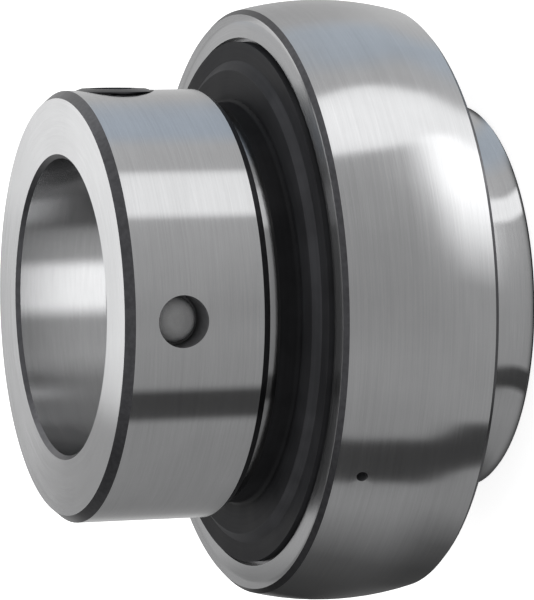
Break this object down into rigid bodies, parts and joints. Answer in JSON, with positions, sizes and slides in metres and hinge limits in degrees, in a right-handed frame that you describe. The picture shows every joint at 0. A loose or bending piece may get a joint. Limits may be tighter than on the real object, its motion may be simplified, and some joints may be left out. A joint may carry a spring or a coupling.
{
  "type": "insert bearing",
  "caption": "Sealed insert ball bearing with a spherical outer ring, a long inner ring, rubber-covered flingers and an eccentric locking collar with a grub screw.",
  "frame": {"origin": "centre of the outer ring's spherical seat, on the bearing's axis, in the middle plane of the balls", "axes": "+Z along the bearing's axis towards the locking collar, the collar's drift hole towards -Y, its grub screw towards +X; the inner ring's plain end is at the bottom"},
  "size_m": [0.072, 0.072, 0.0511],
  "materials": {
    "outer_ring_steel": "ground bearing steel with fine rings round the axis, darker turned chamfers",
    "inner_ring_steel": "ground bearing steel",
    "collar_steel": "ground steel with dark turned chamfers",
    "ball_steel": "polished",
    "cage_polymer": "natural polyamide",
    "seal_plate_steel": "pressed sheet",
    "seal_rubber": "moulded nitrile rubber",
    "flinger_steel": "pressed sheet",
    "flinger_rubber": "moulded nitrile rubber, satin",
    "pin_steel": "smooth, round-ended",
    "screw_black_oxide": "black oxide, satin"
  },
  "bodies": {
    "outer_race": {"outer_ring": "outer_ring_steel", "seal_plate_collar_side": "seal_plate_steel", "seal_lip_collar_side": "seal_rubber", "seal_plate_plain_side": "seal_plate_steel", "seal_lip_plain_side": "seal_rubber"},
    "inner_race": {"inner_ring": "inner_ring_steel", "flinger_core_collar_side": "flinger_steel", "flinger_rubber_collar_side": "flinger_rubber", "flinger_core_plain_side": "flinger_steel", "flinger_rubber_plain_side": "flinger_rubber"},
    "cage": {"cage": "cage_polymer"},
    "ball_1": {"ball_1": "ball_steel"},
    "ball_2": {"ball_2": "ball_steel"},
    "ball_3": {"ball_3": "ball_steel"},
    "ball_4": {"ball_4": "ball_steel"},
    "ball_5": {"ball_5": "ball_steel"},
    "ball_6": {"ball_6": "ball_steel"},
    "ball_7": {"ball_7": "ball_steel"},
    "ball_8": {"ball_8": "ball_steel"},
    "ball_9": {"ball_9": "ball_steel"},
    "locking_collar": {"locking_collar": "collar_steel", "domed_pin": "pin_steel"},
    "grub_screw": {"grub_screw": "screw_black_oxide"}
  },
  "joints": [
    {"name": "inner_spin", "type": "hinge", "parent": "outer_race", "child": "inner_race", "pos_m": [0, 0, 0], "axis": [0, 0, 1], "continuous": true},
    {"name": "cage_spin", "type": "hinge", "parent": "outer_race", "child": "cage", "pos_m": [0, 0, 0], "axis": [0, 0, 1], "continuous": true},
    {"name": "ball_1_roll", "type": "hinge", "parent": "cage", "child": "ball_1", "pos_m": [0.02675, 0, 0], "axis": [0, 0, 1], "continuous": true},
    {"name": "ball_2_roll", "type": "hinge", "parent": "cage", "child": "ball_2", "pos_m": [0.02049, 0.01719, 0], "axis": [0, 0, 1], "continuous": true},
    {"name": "ball_3_roll", "type": "hinge", "parent": "cage", "child": "ball_3", "pos_m": [0.00465, 0.02634, 0], "axis": [0, 0, 1], "continuous": true},
    {"name": "ball_4_roll", "type": "hinge", "parent": "cage", "child": "ball_4", "pos_m": [-0.01337, 0.02317, 0], "axis": [0, 0, 1], "continuous": true},
    {"name": "ball_5_roll", "type": "hinge", "parent": "cage", "child": "ball_5", "pos_m": [-0.02514, 0.00915, 0], "axis": [0, 0, 1], "continuous": true},
    {"name": "ball_6_roll", "type": "hinge", "parent": "cage", "child": "ball_6", "pos_m": [-0.02514, -0.00915, 0], "axis": [0, 0, 1], "continuous": true},
    {"name": "ball_7_roll", "type": "hinge", "parent": "cage", "child": "ball_7", "pos_m": [-0.01337, -0.02317, 0], "axis": [0, 0, 1], "continuous": true},
    {"name": "ball_8_roll", "type": "hinge", "parent": "cage", "child": "ball_8", "pos_m": [0.00465, -0.02634, 0], "axis": [0, 0, 1], "continuous": true},
    {"name": "ball_9_roll", "type": "hinge", "parent": "cage", "child": "ball_9", "pos_m": [0.02049, -0.01719, 0], "axis": [0, 0, 1], "continuous": true},
    {"name": "collar_lock", "type": "hinge", "parent": "inner_race", "child": "locking_collar", "pos_m": [0, 0, 0.0236], "axis": [0, 0, 1], "range_deg": [-20, 20]},
    {"name": "grub_screw_travel", "type": "slide", "parent": "locking_collar", "child": "grub_screw", "axis": [1, 0, 0], "range_m": [-0.0004, 0.004]}
  ],
  "couplings": [
    {"joint": "cage_spin", "follows": "inner_spin", "ratio": 0.39615},
    {"joint": "ball_1_roll", "follows": "inner_spin", "ratio": -2.3035},
    {"joint": "ball_2_roll", "follows": "inner_spin", "ratio": -2.3035},
    {"joint": "ball_3_roll", "follows": "inner_spin", "ratio": -2.3035},
    {"joint": "ball_4_roll", "follows": "inner_spin", "ratio": -2.3035},
    {"joint": "ball_5_roll", "follows": "inner_spin", "ratio": -2.3035},
    {"joint": "ball_6_roll", "follows": "inner_spin", "ratio": -2.3035},
    {"joint": "ball_7_roll", "follows": "inner_spin", "ratio": -2.3035},
    {"joint": "ball_8_roll", "follows": "inner_spin", "ratio": -2.3035},
    {"joint": "ball_9_roll", "follows": "inner_spin", "ratio": -2.3035}
  ]
}
